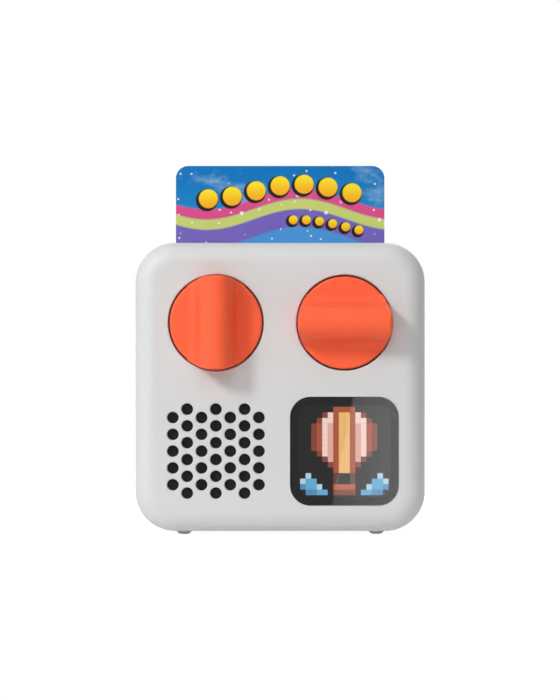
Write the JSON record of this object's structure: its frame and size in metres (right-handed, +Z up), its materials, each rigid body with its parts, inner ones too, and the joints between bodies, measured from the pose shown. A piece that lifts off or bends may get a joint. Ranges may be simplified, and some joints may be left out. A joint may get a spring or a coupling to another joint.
{
  "type": "audio story player",
  "caption": "Rounded desk-top audio story player with turn-and-push finned knobs, a speaker grille, a picture window and a story card in a top slot.",
  "frame": {"origin": "middle of the whole part's footprint, on the plane that the feet rest on", "axes": "+Z up, -Y out of the front face, +X to the right seen from the front"},
  "size_m": [0.0734, 0.0506, 0.0945],
  "materials": {
    "case": "fine satin moulded plastic, warm light grey",
    "knob": "satin orange moulded plastic",
    "foot": "grey rubber",
    "steel": "zinc-plated screws",
    "shaft": "turned metal",
    "encoder": "pressed metal can",
    "black_plastic": "black moulded plastic",
    "circuit_board": "green solder mask",
    "black_board": "black solder mask with lights",
    "window": "smoked polished acrylic",
    "window_tape": "black adhesive foam tape",
    "diffuser": "dark tinted diffusing film",
    "cloth": "fine black mesh",
    "foam": "soft foam",
    "speaker_metal": "black pressed steel",
    "soft_rubber": "soft rubber roll",
    "cone_paper": "black pressed paper",
    "copper": "copper track and winding",
    "magnet": "plated magnet",
    "guide_plastic": "grey moulded plastic",
    "card": "printed laminated card",
    "connector_plastic": "ivory nylon",
    "socket_steel": "drawn steel shell",
    "battery_foil": "wrapped foil pouch",
    "red_wire": "insulated wire",
    "black_wire": "insulated wire",
    "tape": "amber flexible tape"
  },
  "bodies": {
    "root": {"front_shell": "case", "rear_shell": "case", "case_screws": "steel", "control_board_screws": "steel", "led_board_screws": "steel", "speaker_screws": "steel", "main_board_screws": "steel", "feet": "foot", "left_encoder": "encoder", "right_encoder": "encoder", "encoder_nuts": "shaft", "control_board": "circuit_board", "main_board": "circuit_board", "led_board": "black_board", "display_window": "window", "window_tape": "window_tape", "light_diffuser": "diffuser", "light_grid": "black_plastic", "grille_cloth": "cloth", "speaker_gasket": "foam", "speaker_frame": "speaker_metal", "speaker_surround": "soft_rubber", "speaker_cone": "cone_paper", "voice_coil": "copper", "speaker_magnet": "magnet", "card_guide": "guide_plastic", "card_antenna": "copper", "board_chips": "black_plastic", "board_connectors": "connector_plastic", "charge_socket": "socket_steel", "headphone_jack": "black_plastic", "power_switch": "black_plastic", "battery": "battery_foil", "battery_pad": "foam", "battery_cable": "red_wire", "speaker_cable": "black_wire", "display_cable": "tape", "control_cable": "tape"},
    "left_plunger": {"left_plunger": "black_plastic"},
    "left_knob": {"left_knob": "knob", "left_shaft": "shaft"},
    "right_plunger": {"right_plunger": "black_plastic"},
    "right_knob": {"right_knob": "knob", "right_shaft": "shaft"},
    "power_button": {"power_button": "case", "power_stem": "connector_plastic"},
    "story_card": {"story_card": "card"}
  },
  "joints": [
    {"name": "left_knob_push", "type": "slide", "parent": "root", "child": "left_plunger", "axis": [0, 1, 0], "range_m": [0, 0.0005], "stiffness_N_per_m": 2000},
    {"name": "left_knob_turn", "type": "hinge", "parent": "left_plunger", "child": "left_knob", "pos_m": [-0.01625, -0.01675, 0.0538], "axis": [0, 1, 0], "continuous": true},
    {"name": "right_knob_push", "type": "slide", "parent": "root", "child": "right_plunger", "axis": [0, 1, 0], "range_m": [0, 0.0005], "stiffness_N_per_m": 2000},
    {"name": "right_knob_turn", "type": "hinge", "parent": "right_plunger", "child": "right_knob", "pos_m": [0.01625, -0.01675, 0.0538], "axis": [0, 1, 0], "continuous": true},
    {"name": "power_press", "type": "slide", "parent": "root", "child": "power_button", "axis": [-1, 0, 0], "range_m": [0, 0.0004], "stiffness_N_per_m": 2000},
    {"name": "card_slide", "type": "slide", "parent": "root", "child": "story_card", "axis": [0, 0, 1], "range_m": [0, 0.065]}
  ]
}
